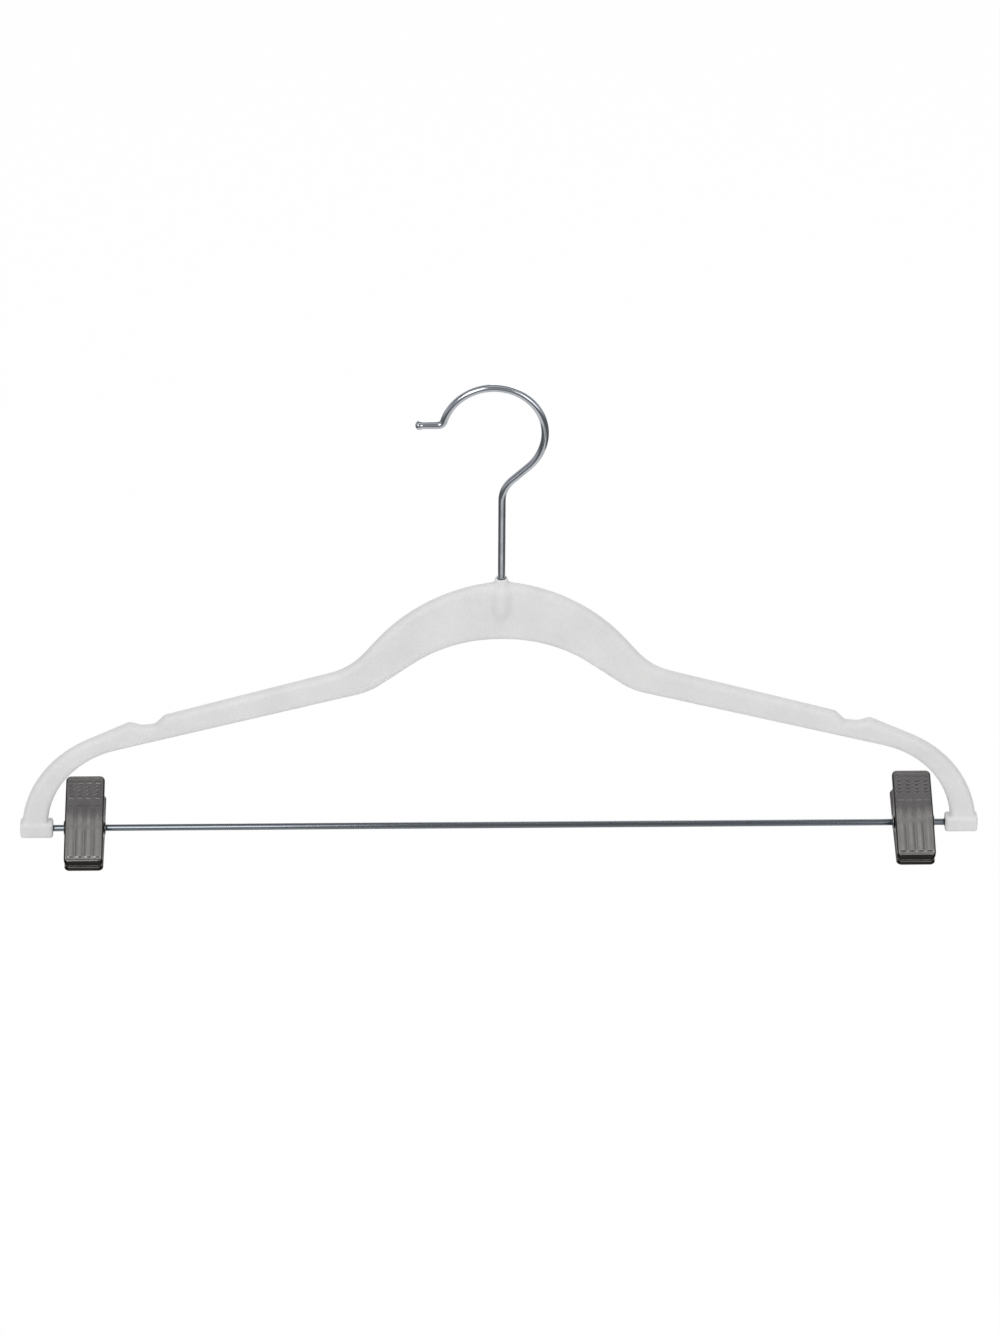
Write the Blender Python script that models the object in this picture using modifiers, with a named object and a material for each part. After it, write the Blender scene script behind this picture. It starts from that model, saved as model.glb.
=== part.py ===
"""Suit hanger: flocked body, swivelling wire hook, trouser bar and two sliding spring clips.

Metres, +Z up, front of the hanger towards -Y. The origin is the rail seat, the top of the inside of
the hook's loop. Each clip is built upright about its own pivot and then swung on the bar.
"""

import bmesh
import bpy
from math import acos, asin, atan2, ceil, cos, hypot, pi, radians, sin, tan
from mathutils import Matrix, Vector

# Body outline, as drops below the rail seat and distances from the middle
SPAN = 0.445
TIP_DROP = 0.2312
CROWN_DROP = 0.0973
CROWN_HEIGHT = 0.0295
CROWN_SLOPE = radians(8.0)
CROWN_REACH = 0.0357
CROWN_RADIUS = 0.084
VALLEY_REACH = 0.0691
VALLEY_DROP = 0.1428
ARM_SLOPE = radians(16.0)
NOTCH_FROM_TIP = 0.0635
NOTCH_FLOOR = 0.006
NOTCH_DEPTH = 0.0035
NOTCH_LIP = 0.0010
SHOULDER_SLOPE = radians(25.6)
SHOULDER_INSET = 0.0035
SHOULDER_RADIUS = 0.056
TIP_WIDTH = 0.0125
ARM_DEPTH = 0.0129
UNDER_SLOPE = radians(14.7)
UNDER_CORNER = 0.044
UNDER_VALLEY_REACH = 0.0599
UNDER_CROWN_REACH = 0.0228
UNDER_CROWN_RADIUS = 0.065
BODY_THICKNESS = 0.006
BODY_EDGE = 0.0024

# Bosses moulded on the body
NECK_RISE = 0.0023
NECK_RADIUS = 0.0054
NECK_LENGTH = 0.0235
NECK_LIP = 0.0009
TIP_BLOCK = Vector((0.0153, 0.0076, 0.0074))
TIP_BLOCK_PROUD = 0.0004

# Hook wire
WIRE = 0.0034
LOOP_RADIUS = 0.0230
LOOP_OFFSET = -0.0040
SHANK_LEAN = radians(47.0)
SHANK_BEND = 0.0140
STUB_BEND = 0.0028
STUB_DROP = 0.0168
STUB_REACH = 0.0388
STUB_SWELL = 1.25
HEAD_RADIUS = 0.0026
HEAD_HEIGHT = 0.0030
HEAD_DEPTH = 0.0092

# Trouser bar
BAR = 0.0030
BAR_ABOVE_TIP = 0.0035
SOCKET_DEPTH = 0.0100

# Clip: a leaf is a stamped pan, measured from the pivot up to the tab and down to the jaw
CLIP_FROM_TIP = 0.0295
CLIP_SWING = radians(-69.0)
LEAF_WIDTH = 0.0180
TAB_LENGTH = 0.0246
JAW_LENGTH = 0.0220
SHEET = 0.0007
LEAF_LEAN = radians(3.0)
LEAF_BEND = radians(5.0)
BEND_REACH = 0.0060
PIVOT_STANDOFF = 0.0069
CORNER = 0.0024
FOLD = 0.0008
STEP_RUN = 0.0012
TAB_WALL = 0.0018
JAW_WALL = 0.0030
EAR_HALF_WIDTH = 0.0080
EAR_REACH = 0.0036
EAR_STEPS = 12
CORNER_STEPS = 3
LIP_SETBACK = 0.0006
RIM = 0.0026
LADDER_LENGTH = 0.0105
LADDER_COLUMNS = 4
LADDER_ROWS = 5
RUNG_LENGTH = 0.0028
RUNG_WIDTH = 0.0010
RUNG_HEIGHT = 0.00055
PLAIN_BAND = 0.0033
BEAD_COUNT = 4
BEAD_LENGTH = 0.0280
BEAD_WIDTH = 0.0037
BEAD_HEIGHT = 0.0007
RELIEF_SINK = 0.0001

# Clip pivot, spring and pads
TUBE_WALL = 0.00045
TUBE_FLARE = 0.0033
TUBE_FLARE_THICKNESS = 0.0004
SPRING_WIRE = 0.0009
SPRING_RADIUS = 0.0033
SPRING_PITCH = 0.00145
SPRING_TURNS = 6
SPRING_LEG = 0.0140
PAD_HEIGHT = 0.0075
PAD_PROUD = 0.00045
PAD_TOOTH = 0.0005
PAD_TEETH = 5

# Clearances
GAP = 0.0003
SWIVEL_GAP = 0.0003
POCKET_GAP = 0.0005
TUBE_GAP = 0.00035

BAR_DROP = TIP_DROP + TIP_BLOCK_PROUD - BAR_ABOVE_TIP
EAR_STEP = SHEET + GAP
MERGE = 0.00001
CHORD_ERROR = 0.00004


def material(name, colour, roughness, metallic):
    """A plain Principled material."""
    made = bpy.data.materials.new(name)
    made.use_nodes = True
    shader = made.node_tree.nodes["Principled BSDF"]
    shader.inputs["Base Color"].default_value = (*colour, 1.0)
    shader.inputs["Roughness"].default_value = roughness
    shader.inputs["Metallic"].default_value = metallic
    return made


def add_object(name, data, collection, surface=None, parent=None):
    """Put data in a collection as a named object, with its material."""
    made = bpy.data.objects.new(name, data)
    collection.objects.link(made)
    made.parent = parent
    if surface and not data.materials:
        data.materials.append(surface)
    return made


def mesh_of(obj):
    """The evaluated mesh of a working object, in world space. The object is removed."""
    bpy.context.view_layer.update()
    seen = obj.evaluated_get(bpy.context.evaluated_depsgraph_get())
    mesh = bpy.data.meshes.new_from_object(seen)
    mesh.transform(obj.matrix_world)
    bpy.data.objects.remove(obj, do_unlink=True)
    return mesh


def welded(mesh):
    """Weld a mesh's loose caps."""
    bm = bmesh.new()
    bm.from_mesh(mesh)
    bmesh.ops.remove_doubles(bm, verts=bm.verts, dist=MERGE)
    bmesh.ops.recalc_face_normals(bm, faces=bm.faces)
    bm.to_mesh(mesh)
    bm.free()
    return mesh


def smooth(mesh, angle=radians(35.0)):
    """Shade smooth, with the edges sharper than the angle kept sharp."""
    mesh.shade_smooth()
    mesh.set_sharp_from_angle(angle=angle)
    return mesh


def cutter(name, data):
    """A working object that shapes another and is not a part."""
    made = add_object(name, data, tools)
    made.hide_render = True
    made.display_type = "WIRE"
    return made


def boolean(obj, other, operation):
    """Join a shape to an object or cut it away."""
    step = obj.modifiers.new(other.name, "BOOLEAN")
    step.operation = operation
    step.solver = "MANIFOLD"
    step.object = other


def turned(name, profile, axis, sides):
    """A profile of (radius, height) points turned about Z or X, with its outer side first, top down."""
    mesh = bpy.data.meshes.new(name)
    closed = profile[0][0] > 0
    count = len(profile)
    edges = [(i, (i + 1) % count) for i in range(count if closed else count - 1)]
    mesh.from_pydata([(radius, 0, height) for radius, height in profile], edges, [])
    made = add_object(name, mesh, tools)
    screw = made.modifiers.new("turn", "SCREW")
    screw.axis = "Z"
    screw.steps = sides
    screw.render_steps = sides
    screw.use_merge_vertices = True
    screw.merge_threshold = MERGE
    if axis == "X":
        made.matrix_world = Matrix.Rotation(pi / 2, 4, "Y")
    return welded(mesh_of(made))


def cylinder(name, radius, length, sides, axis="Z"):
    """A closed cylinder about the origin."""
    mesh = bpy.data.meshes.new(name)
    bm = bmesh.new()
    bmesh.ops.create_cone(bm, cap_ends=True, segments=sides, radius1=radius, radius2=radius, depth=length)
    bm.to_mesh(mesh)
    bm.free()
    if axis == "X":
        mesh.transform(Matrix.Rotation(pi / 2, 4, "Y"))
    return mesh


def wire(name, points, radius, resolution, swell=None):
    """A round wire along points, with capped ends. swell gives the radius factor of each point."""
    curve = bpy.data.curves.new(name, "CURVE")
    curve.dimensions = "3D"
    curve.bevel_depth = radius
    curve.bevel_resolution = resolution
    curve.use_fill_caps = True
    spline = curve.splines.new("POLY")
    spline.points.add(len(points) - 1)
    for index, (target, place) in enumerate(zip(spline.points, points)):
        target.co = (*place, 1.0)
        target.radius = swell[index] if swell else 1.0
    return curve


def arc(centre, radius, start, end, count):
    """Points of an arc in the XZ plane, both ends included."""
    step = (end - start) / (count - 1)
    angles = [start + step * i for i in range(count)]
    return [(centre[0] + radius * cos(a), centre[1] + radius * sin(a)) for a in angles]


def rounded_outline(corners, arc_step=radians(12.0)):
    """A closed outline of (x, z, radius) corners, each rounded by an arc that its edges leave room for."""
    count = len(corners)
    places = [Vector(corner[:2]) for corner in corners]
    turns = []
    for i in range(count):
        before = places[i] - places[i - 1]
        after = places[(i + 1) % count] - places[i]
        turns.append(before.angle_signed(after))
    wanted = [corners[i][2] * tan(abs(turns[i]) / 2) for i in range(count)]
    points = []
    for i in range(count):
        room = 1.0
        for other in (i - 1, (i + 1) % count):
            length = (places[other] - places[i]).length
            room = min(room, 0.98 * length / (wanted[i] + wanted[other]))
        tangent = wanted[i] * room
        radius = tangent / tan(abs(turns[i]) / 2)
        inwards = (places[i - 1] - places[i]).normalized()
        outwards = (places[(i + 1) % count] - places[i]).normalized()
        middle = (inwards + outwards).normalized()
        centre = places[i] + middle * radius / cos(turns[i] / 2)
        first = places[i] + inwards * tangent - centre
        start = atan2(first.y, first.x)
        step = min(arc_step, 2 * acos(1 - CHORD_ERROR / radius))
        segments = max(2, ceil(abs(turns[i]) / step))
        # angle_signed is clockwise positive, so an arc turns by the opposite sign
        points += arc(centre, radius, start, start - turns[i], segments + 1)
    return points


def body_corners():
    """The corners of the body's outline, right half from the crown to the middle of the underside."""
    half = SPAN / 2
    arm_middle = (VALLEY_REACH + half - NOTCH_FROM_TIP) / 2

    def arm(x):
        return -VALLEY_DROP - (x - VALLEY_REACH) * tan(ARM_SLOPE)

    def under(x):
        return arm(arm_middle) - ARM_DEPTH - (x - arm_middle) * tan(UNDER_SLOPE)

    floor_x = half - NOTCH_FROM_TIP
    floor_end = floor_x + NOTCH_FLOOR
    rim_x = floor_x - NOTCH_DEPTH - 0.0010
    lip_x = floor_end + 0.0055
    lip_z = arm(lip_x) + NOTCH_LIP
    shoulder_x = half - SHOULDER_INSET
    inner_x = half - TIP_WIDTH
    return [
        (CROWN_REACH, -CROWN_DROP - CROWN_REACH * tan(CROWN_SLOPE), CROWN_RADIUS),
        (VALLEY_REACH, -VALLEY_DROP, 0.030),
        (rim_x, arm(rim_x), 0.003),
        (floor_x, arm(floor_x) - NOTCH_DEPTH, 0.0025),
        (floor_end, arm(floor_x) - NOTCH_DEPTH - 0.0005, 0.003),
        (lip_x, lip_z, 0.0027),
        (shoulder_x, lip_z - (shoulder_x - lip_x) * tan(SHOULDER_SLOPE), SHOULDER_RADIUS),
        (half, -TIP_DROP, 0.0027),
        (inner_x, -TIP_DROP, 0.0027),
        (inner_x, under(inner_x), UNDER_CORNER),
        (UNDER_VALLEY_REACH, under(UNDER_VALLEY_REACH), 0.030),
        (UNDER_CROWN_REACH, -CROWN_DROP - CROWN_HEIGHT, UNDER_CROWN_RADIUS),
    ]


def body_mesh():
    """The moulding's flat outline as one face, crown in the middle."""
    right = body_corners()
    left = [(-x, z, radius) for x, z, radius in reversed(right)]
    apex = [(0.0, -CROWN_DROP, 0.020)]
    outline = rounded_outline(apex + right + left)
    mesh = bpy.data.meshes.new("hanger_body")
    bm = bmesh.new()
    bm.faces.new([bm.verts.new((x, 0, z)) for x, z in outline])
    bm.to_mesh(mesh)
    bm.free()
    return mesh


def neck_profile():
    """The neck boss: a concave flare at the top that fades into the body's faces below."""
    top = -CROWN_DROP + NECK_RISE
    bore = WIRE / 2 + SWIVEL_GAP
    return [
        (0.0, top),
        (bore + NECK_LIP, top),
        (bore + NECK_LIP + 0.0003, top - 0.0020),
        (NECK_RADIUS - 0.0012, top - 0.0043),
        (NECK_RADIUS, top - 0.0064),
        (NECK_RADIUS, top - 0.0160),
        (NECK_RADIUS - 0.0014, top - 0.0200),
        (BODY_THICKNESS / 2 - 0.0008, top - NECK_LENGTH),
        (0.0, top - NECK_LENGTH),
    ]


def hook_pocket_profile():
    """The bore for the hook wire and the wider pocket for its head, as one cutter."""
    top = -CROWN_DROP + NECK_RISE
    bore = WIRE / 2 + SWIVEL_GAP
    pocket = HEAD_RADIUS + POCKET_GAP
    ceiling = top - HEAD_DEPTH + GAP
    floor = top - HEAD_DEPTH - HEAD_HEIGHT - POCKET_GAP
    return [(0.0, top + 0.002), (bore, top + 0.002), (bore, ceiling), (pocket, ceiling), (pocket, floor), (0.0, floor)]


def make_body():
    """One moulding: rounded flat outline, neck boss, tip blocks, hook bore and bar sockets."""
    body = add_object("hanger_body", body_mesh(), parts, white)
    solid = body.modifiers.new("thickness", "SOLIDIFY")
    solid.thickness = BODY_THICKNESS
    solid.offset = 0.0
    edge = body.modifiers.new("edge", "BEVEL")
    edge.width = BODY_EDGE
    edge.segments = 3
    edge.limit_method = "ANGLE"
    edge.angle_limit = radians(60.0)
    boolean(body, cutter("neck_boss", turned("neck_boss", neck_profile(), "Z", 20)), "UNION")
    for side in (-1, 1):
        block = bpy.data.meshes.new("tip_block")
        bm = bmesh.new()
        bmesh.ops.create_cube(bm, size=1.0, matrix=Matrix.Diagonal((*TIP_BLOCK, 1.0)))
        bmesh.ops.bevel(bm, geom=bm.edges[:], offset=0.0008, segments=2, profile=0.5, affect="EDGES")
        bm.to_mesh(block)
        bm.free()
        joined = cutter("tip_block", block)
        outer = SPAN / 2 + TIP_BLOCK_PROUD
        bottom = -TIP_DROP - TIP_BLOCK_PROUD
        joined.location = (side * (outer - TIP_BLOCK.x / 2), 0, bottom + TIP_BLOCK.z / 2)
        boolean(body, joined, "UNION")
    boolean(body, cutter("hook_bore", turned("hook_bore", hook_pocket_profile(), "Z", 20)), "DIFFERENCE")
    for side in (-1, 1):
        mouth = SPAN / 2 + TIP_BLOCK_PROUD - TIP_BLOCK.x
        socket = cutter("bar_socket", cylinder("bar_socket", BAR / 2 + GAP, 2 * SOCKET_DEPTH, 16, "X"))
        socket.location = (side * mouth, 0, -BAR_DROP)
        boolean(body, socket, "DIFFERENCE")


def hook_points():
    """The hook's centreline in the XZ plane and the wire's radius factor at each point."""
    top = -CROWN_DROP + NECK_RISE
    head_top = top - HEAD_DEPTH
    centre = (LOOP_OFFSET, WIRE / 2 - LOOP_RADIUS)
    # the slanted run is tangent to the loop and leaves the shank at its bend
    touch = (centre[0] + LOOP_RADIUS * cos(SHANK_LEAN), centre[1] - LOOP_RADIUS * sin(SHANK_LEAN))
    corner = touch[1] - touch[0] / tan(SHANK_LEAN)
    bend = corner - SHANK_BEND * tan(SHANK_LEAN / 2)
    stub_z = -STUB_DROP
    stub_centre_z = stub_z + STUB_BEND
    loop_end = pi - asin((stub_centre_z - centre[1]) / (LOOP_RADIUS + STUB_BEND))
    stub_centre = (centre[0] + (LOOP_RADIUS + STUB_BEND) * cos(loop_end), stub_centre_z)

    path = [(0.0, head_top - HEAD_HEIGHT), (0.0, head_top), (0.0, head_top + 0.0001), (0.0, top)]
    path += arc((SHANK_BEND, bend), SHANK_BEND, pi, pi - SHANK_LEAN, 7)
    path += arc(centre, LOOP_RADIUS, -SHANK_LEAN, loop_end, 34)
    path += arc(stub_centre, STUB_BEND, loop_end - pi, -pi / 2, 6)[1:]
    tip = -STUB_REACH
    swell_length = WIRE
    path += [(tip + swell_length, stub_z)]
    factors = [HEAD_RADIUS * 2 / WIRE] * 2 + [1.0] * (len(path) - 2)
    rings = 5
    for ring in range(1, rings + 1):
        share = ring / rings
        bulge = 1.0 + (STUB_SWELL - 1.0) * sin(min(share * 1.25, 1.0) * pi / 2)
        round_end = (1.0 - max(0.0, (share - 0.6) / 0.4) ** 3 * 0.45)
        path.append((tip + swell_length * (1.0 - share), stub_z))
        factors.append(bulge * round_end)
    return [(x, 0.0, z) for x, z in path], factors


def make_hook():
    """Round wire with an upset head at the foot and a swollen end on the stub."""
    points, factors = hook_points()
    add_object("swivel_hook", wire("swivel_hook", points, WIRE / 2, 3, factors), parts, chrome)


def make_bar():
    """Straight bar, short of the bottom of both sockets."""
    mouth = SPAN / 2 + TIP_BLOCK_PROUD - TIP_BLOCK.x
    length = 2 * (mouth + SOCKET_DEPTH - 2 * GAP)
    mesh = smooth(cylinder("trouser_bar", BAR / 2, length, 16, "X"))
    bar = add_object("trouser_bar", mesh, parts, steel)
    bar.location = (0, 0, -BAR_DROP)


def bend(v):
    """How far a leaf's face falls towards the other leaf at a place along it: flat tab, bent over the pivot."""
    if v > BEND_REACH:
        return 0.0
    if v < -BEND_REACH:
        return -v * tan(LEAF_BEND)
    return tan(LEAF_BEND) * (BEND_REACH - v) ** 2 / (4 * BEND_REACH)


def leaf_outline():
    """A leaf's outline as (across, along, normal across, normal along), anticlockwise from the jaw."""
    half = LEAF_WIDTH / 2
    points = []
    for u, v, start in ((half, -JAW_LENGTH, -90), (half, TAB_LENGTH, 0), (-half, TAB_LENGTH, 90), (-half, -JAW_LENGTH, 180)):
        side = 1 if u > 0 else -1
        top = 1 if v > 0 else -1
        for step in range(CORNER_STEPS + 1):
            angle = radians(start + 90 * step / CORNER_STEPS)
            n = (cos(angle), sin(angle))
            points.append((u - side * CORNER + CORNER * n[0], v - top * CORNER + CORNER * n[1], *n))
        if side * top < 0:
            for step in range(EAR_STEPS + 1):
                along = -EAR_HALF_WIDTH + 2 * EAR_HALF_WIDTH * step / EAR_STEPS
                points.append((u, side * along, side, 0.0))
    return points


def wall_depth(v, normal_v):
    """How deep a leaf's wall ends, from the plane of its tab, at a place along it."""
    wall = TAB_WALL + (JAW_WALL - TAB_WALL) * min(1.0, (TAB_LENGTH - v) / TAB_LENGTH) + bend(v)
    if abs(v) < EAR_HALF_WIDTH:
        reach = PIVOT_STANDOFF + EAR_REACH - wall
        wall += reach * (1 - (v / EAR_HALF_WIDTH) ** 2) ** 1.5
    if normal_v < -0.6:
        wall = PIVOT_STANDOFF - (LIP_SETBACK + JAW_LENGTH * sin(LEAF_LEAN)) / cos(LEAF_LEAN)
    return wall


def pan_mesh(stepped):
    """The folded sheet's outer skin, facing -Y, with its side walls stepped in behind where stepped."""
    outline = leaf_outline()
    bm = bmesh.new()

    def ring(places):
        verts = [bm.verts.new(place) for place in places]
        return verts, [bm.edges.new((verts[i - 1], verts[i])) for i in range(len(verts))]

    loops = []
    for inset, depth in ((FOLD, 0.0), (FOLD * 0.3, FOLD * 0.3), (0.0, FOLD)):
        loops.append(ring([(u - inset * nu, depth + bend(v), v - inset * nv) for u, v, nu, nv in outline]))
    if stepped:
        foot = []
        for u, v, nu, nv in outline:
            run = min(STEP_RUN, wall_depth(v, nv) - SHEET / 3 - bend(v) - FOLD)
            foot.append((u - nu * EAR_STEP * run / STEP_RUN, bend(v) + FOLD + run, v))
        loops.append(ring(foot))
    above = loops[-1][0]
    loops.append(ring([(vert.co.x, wall_depth(v, nv), v) for vert, (u, v, nu, nv) in zip(above, outline)]))
    # the face is flat at both ends and in strips over the ears, where it bends
    face = loops[0][0]
    corner = CORNER_STEPS + 1
    ear = EAR_STEPS + 1
    right = face[corner:corner + ear]
    left = face[3 * corner + ear:3 * corner + 2 * ear][::-1]
    bm.faces.new(left[:1] + face[3 * corner + 2 * ear:] + face[:corner] + right[:1])
    bm.faces.new(right[-1:] + face[corner + ear:3 * corner + ear] + left[-1:])
    for step in range(EAR_STEPS):
        bm.faces.new((right[step], right[step + 1], left[step + 1], left[step]))
    for near, far in zip(loops, loops[1:]):
        bmesh.ops.bridge_loops(bm, edges=near[1] + far[1])
    bmesh.ops.recalc_face_normals(bm, faces=bm.faces)
    panel = min(bm.faces, key=lambda part: part.calc_center_median().y)
    if panel.normal.y > 0:
        bmesh.ops.reverse_faces(bm, faces=bm.faces)
    mesh = bpy.data.meshes.new("pan")
    bm.to_mesh(mesh)
    bm.free()
    return mesh


def add_bead(bm, centre, half_size, along, sides, rings):
    """A long bead with rounded ends, half sunk in the face. along is its long axis, 0 or 2."""
    radius = half_size[2 - along]
    stretch = half_size[along] - radius
    turn = Matrix.Rotation(pi / 2, 4, "Y") if along == 0 else Matrix.Identity(4)
    made = bmesh.ops.create_uvsphere(bm, u_segments=sides, v_segments=rings, radius=radius, matrix=turn)
    for vert in made["verts"]:
        if abs(vert.co[along]) > radius * 0.01:
            vert.co[along] += stretch if vert.co[along] > 0 else -stretch
        vert.co.y *= half_size[1] / radius
        vert.co += Vector(centre)


def relief_mesh():
    """The face's embossing: a ladder of short cross ribs near the tab's end and long beads below it."""
    bm = bmesh.new()
    pitch = LADDER_LENGTH / LADDER_ROWS
    spread = LEAF_WIDTH - 2 * FOLD
    for column in range(LADDER_COLUMNS):
        u = spread * ((column + 0.5) / LADDER_COLUMNS - 0.5)
        for row in range(LADDER_ROWS):
            v = TAB_LENGTH - RIM - pitch * (row + 0.5)
            add_bead(bm, (u, RELIEF_SINK, v), (RUNG_LENGTH / 2, RUNG_HEIGHT, RUNG_WIDTH / 2), 0, 6, 3)
    v = TAB_LENGTH - RIM - LADDER_LENGTH - PLAIN_BAND - BEAD_LENGTH / 2
    for bead in range(BEAD_COUNT):
        u = spread * ((bead + 0.5) / BEAD_COUNT - 0.5)
        add_bead(bm, (u, RELIEF_SINK, v), (BEAD_WIDTH / 2, BEAD_HEIGHT, BEAD_LENGTH / 2), 2, 10, 5)
    # the beads are cut between the face's own strips, so that they bend with it
    for step in range(0, EAR_STEPS, 2):
        cut = -EAR_HALF_WIDTH + 2 * EAR_HALF_WIDTH * (step + 0.4) / EAR_STEPS
        geometry = bm.verts[:] + bm.edges[:] + bm.faces[:]
        bmesh.ops.bisect_plane(bm, geom=geometry, dist=MERGE, plane_co=(0, 0, cut), plane_no=(0, 0, 1))
    for vert in bm.verts:
        vert.co.y += bend(vert.co.z)
    mesh = bpy.data.meshes.new("relief")
    bm.to_mesh(mesh)
    bm.free()
    return mesh


def leaf_mesh(name, rear):
    """A stamped leaf about its pivot: folded sheet, embossed face, drilled ears."""
    pan = add_object(name, pan_mesh(rear), tools)
    sheet = pan.modifiers.new("sheet", "SOLIDIFY")
    sheet.thickness = SHEET
    sheet.offset = -1.0
    sheet.use_even_offset = True
    boolean(pan, cutter("relief", relief_mesh()), "UNION")
    hole = BAR / 2 + TUBE_GAP + TUBE_WALL + GAP
    drill = cutter("ear_drill", cylinder("ear_drill", hole, 2 * LEAF_WIDTH, 16, "X"))
    drill.location = (0, PIVOT_STANDOFF, 0)
    boolean(pan, drill, "DIFFERENCE")
    mesh = mesh_of(pan)
    mesh.transform(Matrix.Rotation(LEAF_LEAN, 4, "X") @ Matrix.Translation((0, -PIVOT_STANDOFF, 0)))
    if rear:
        mesh.transform(Matrix.Scale(-1, 4, (0, 1, 0)))
        mesh.flip_normals()
    mesh.name = name
    return smooth(mesh)


def tube_mesh():
    """The pivot: a hollow rivet, flared outside the ears at both ends."""
    bore = BAR / 2 + TUBE_GAP
    outer = bore + TUBE_WALL
    inner_end = LEAF_WIDTH / 2 + GAP
    end = inner_end + TUBE_FLARE_THICKNESS
    profile = [
        (TUBE_FLARE - 0.0002, end),
        (TUBE_FLARE, end - 0.0002),
        (TUBE_FLARE, inner_end),
        (outer, inner_end),
        (outer, -inner_end),
        (TUBE_FLARE, -inner_end),
        (TUBE_FLARE, -end + 0.0002),
        (TUBE_FLARE - 0.0002, -end),
        (bore, -end),
        (bore, end),
    ]
    return smooth(turned("pivot_tube", profile, "X", 16))


def spring_points(per_turn):
    """A torsion spring's centreline about X: a leg up each tab and the coil between them."""
    leg_y = PIVOT_STANDOFF - SHEET - GAP - SPRING_WIRE / 2 + SPRING_LEG * tan(LEAF_LEAN)
    reach = hypot(leg_y, SPRING_LEG)
    touch = atan2(leg_y, SPRING_LEG) + acos(SPRING_RADIUS / reach)
    turn = SPRING_TURNS * 2 * pi + 2 * (pi - touch)
    steps = ceil(turn / (2 * pi) * per_turn)
    width = SPRING_PITCH * turn / (2 * pi)
    coil = []
    for i in range(steps + 1):
        angle = touch + turn * i / steps
        x = width * (i / steps - 0.5)
        coil.append((x, -SPRING_RADIUS * sin(angle), SPRING_RADIUS * cos(angle)))
    start = (-width / 2, -leg_y, SPRING_LEG)
    end = (width / 2, leg_y, SPRING_LEG)
    return [start] + coil + [end]


def least_gap(points, diameter, apart):
    """The least gap of a coiled wire to itself, between points more than so many places apart."""
    nearest = min(
        (Vector(a) - Vector(b)).length
        for i, a in enumerate(points)
        for b in points[i + apart:]
    )
    return nearest - diameter


def pad_mesh(name, rear):
    """A soft strip in the jaw end of a leaf, with cross teeth on the gripping face."""
    floor = SHEET + GAP
    bottom = -JAW_LENGTH + SHEET + GAP
    half = LEAF_WIDTH / 2 - EAR_STEP - SHEET - 2 * GAP
    lean = Matrix.Rotation(LEAF_LEAN, 2)

    def tilted(depth, v):
        return lean @ Vector((-PIVOT_STANDOFF + depth, v))

    grip = -LIP_SETBACK + PAD_PROUD
    top = bottom + PAD_HEIGHT
    outline = [tilted(floor + bend(bottom), bottom), tilted(floor + bend(top), top)]
    low = outline[0].y + 0.0002
    tooth = (PAD_HEIGHT - 0.0012) / PAD_TEETH
    outline.append(Vector((grip - PAD_TOOTH, low + PAD_TEETH * tooth + 0.0004)))
    for index in range(PAD_TEETH, 0, -1):
        outline.append(Vector((grip, low + (index - 0.35) * tooth)))
        outline.append(Vector((grip - PAD_TOOTH, low + (index - 1) * tooth)))
    curve = bpy.data.curves.new(name, "CURVE")
    curve.dimensions = "2D"
    curve.fill_mode = "BOTH"
    curve.extrude = half
    spline = curve.splines.new("POLY")
    spline.points.add(len(outline) - 1)
    for target, place in zip(spline.points, outline):
        target.co = (place.x, place.y, 0.0, 1.0)
    spline.use_cyclic_u = True
    mesh = welded(mesh_of(add_object(name, curve, tools)))
    # the outline's plane becomes YZ and the extrusion runs across the leaf
    mesh.transform(Matrix(((0, 0, 1, 0), (1, 0, 0, 0), (0, 1, 0, 0), (0, 0, 0, 1))))
    if rear:
        mesh.transform(Matrix.Scale(-1, 4, (0, 1, 0)))
        mesh.flip_normals()
    return mesh


def make_clips():
    """Two clips from the same pieces, each on an empty on the bar's axis, swung jaws forward."""
    leaf = {"front": leaf_mesh("front_leaf", False), "rear": leaf_mesh("rear_leaf", True)}
    pad = {"front": pad_mesh("front_pad", False), "rear": pad_mesh("rear_pad", True)}
    print("spring gap to itself, mm:", round(least_gap(spring_points(48), SPRING_WIRE, 24) * 1000, 3))
    spring = wire("torsion_spring", spring_points(9), SPRING_WIRE / 2, 1)
    tube = tube_mesh()
    for label, side in (("left", -1), ("right", 1)):
        pivot = bpy.data.objects.new(label + "_clip_pivot", None)
        parts.objects.link(pivot)
        pivot.location = (side * (SPAN / 2 - CLIP_FROM_TIP), 0, -BAR_DROP)
        pivot.rotation_euler.x = CLIP_SWING
        add_object(label + "_pivot_tube", tube, parts, steel, pivot)
        for place in ("front", "rear"):
            add_object(label + "_" + place + "_leaf", leaf[place], parts, stamped, pivot)
            add_object(label + "_" + place + "_pad", pad[place], parts, vinyl, pivot)
        add_object(label + "_torsion_spring", spring, parts, steel, pivot)


for old in list(bpy.data.objects):
    bpy.data.objects.remove(old, do_unlink=True)

parts = bpy.data.collections.new("suit_hanger")
tools = bpy.data.collections.new("cutters")
bpy.context.scene.collection.children.link(parts)
bpy.context.scene.collection.children.link(tools)

white = material("flocked_white", (0.62, 0.63, 0.63), 0.95, 0.0)
chrome = material("hook_chrome", (0.55, 0.56, 0.58), 0.15, 1.0)
steel = material("plated_steel", (0.35, 0.37, 0.40), 0.25, 1.0)
stamped = material("stamped_steel", (0.42, 0.41, 0.40), 0.30, 1.0)
vinyl = material("clear_vinyl", (0.75, 0.75, 0.73), 0.40, 0.0)

make_body()
make_hook()
make_bar()
make_clips()
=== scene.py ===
from math import acos, asin, atan2, ceil, cos, hypot, pi, radians, sin, sqrt, tan

import bpy
from mathutils import Matrix, Quaternion, Vector


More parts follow.
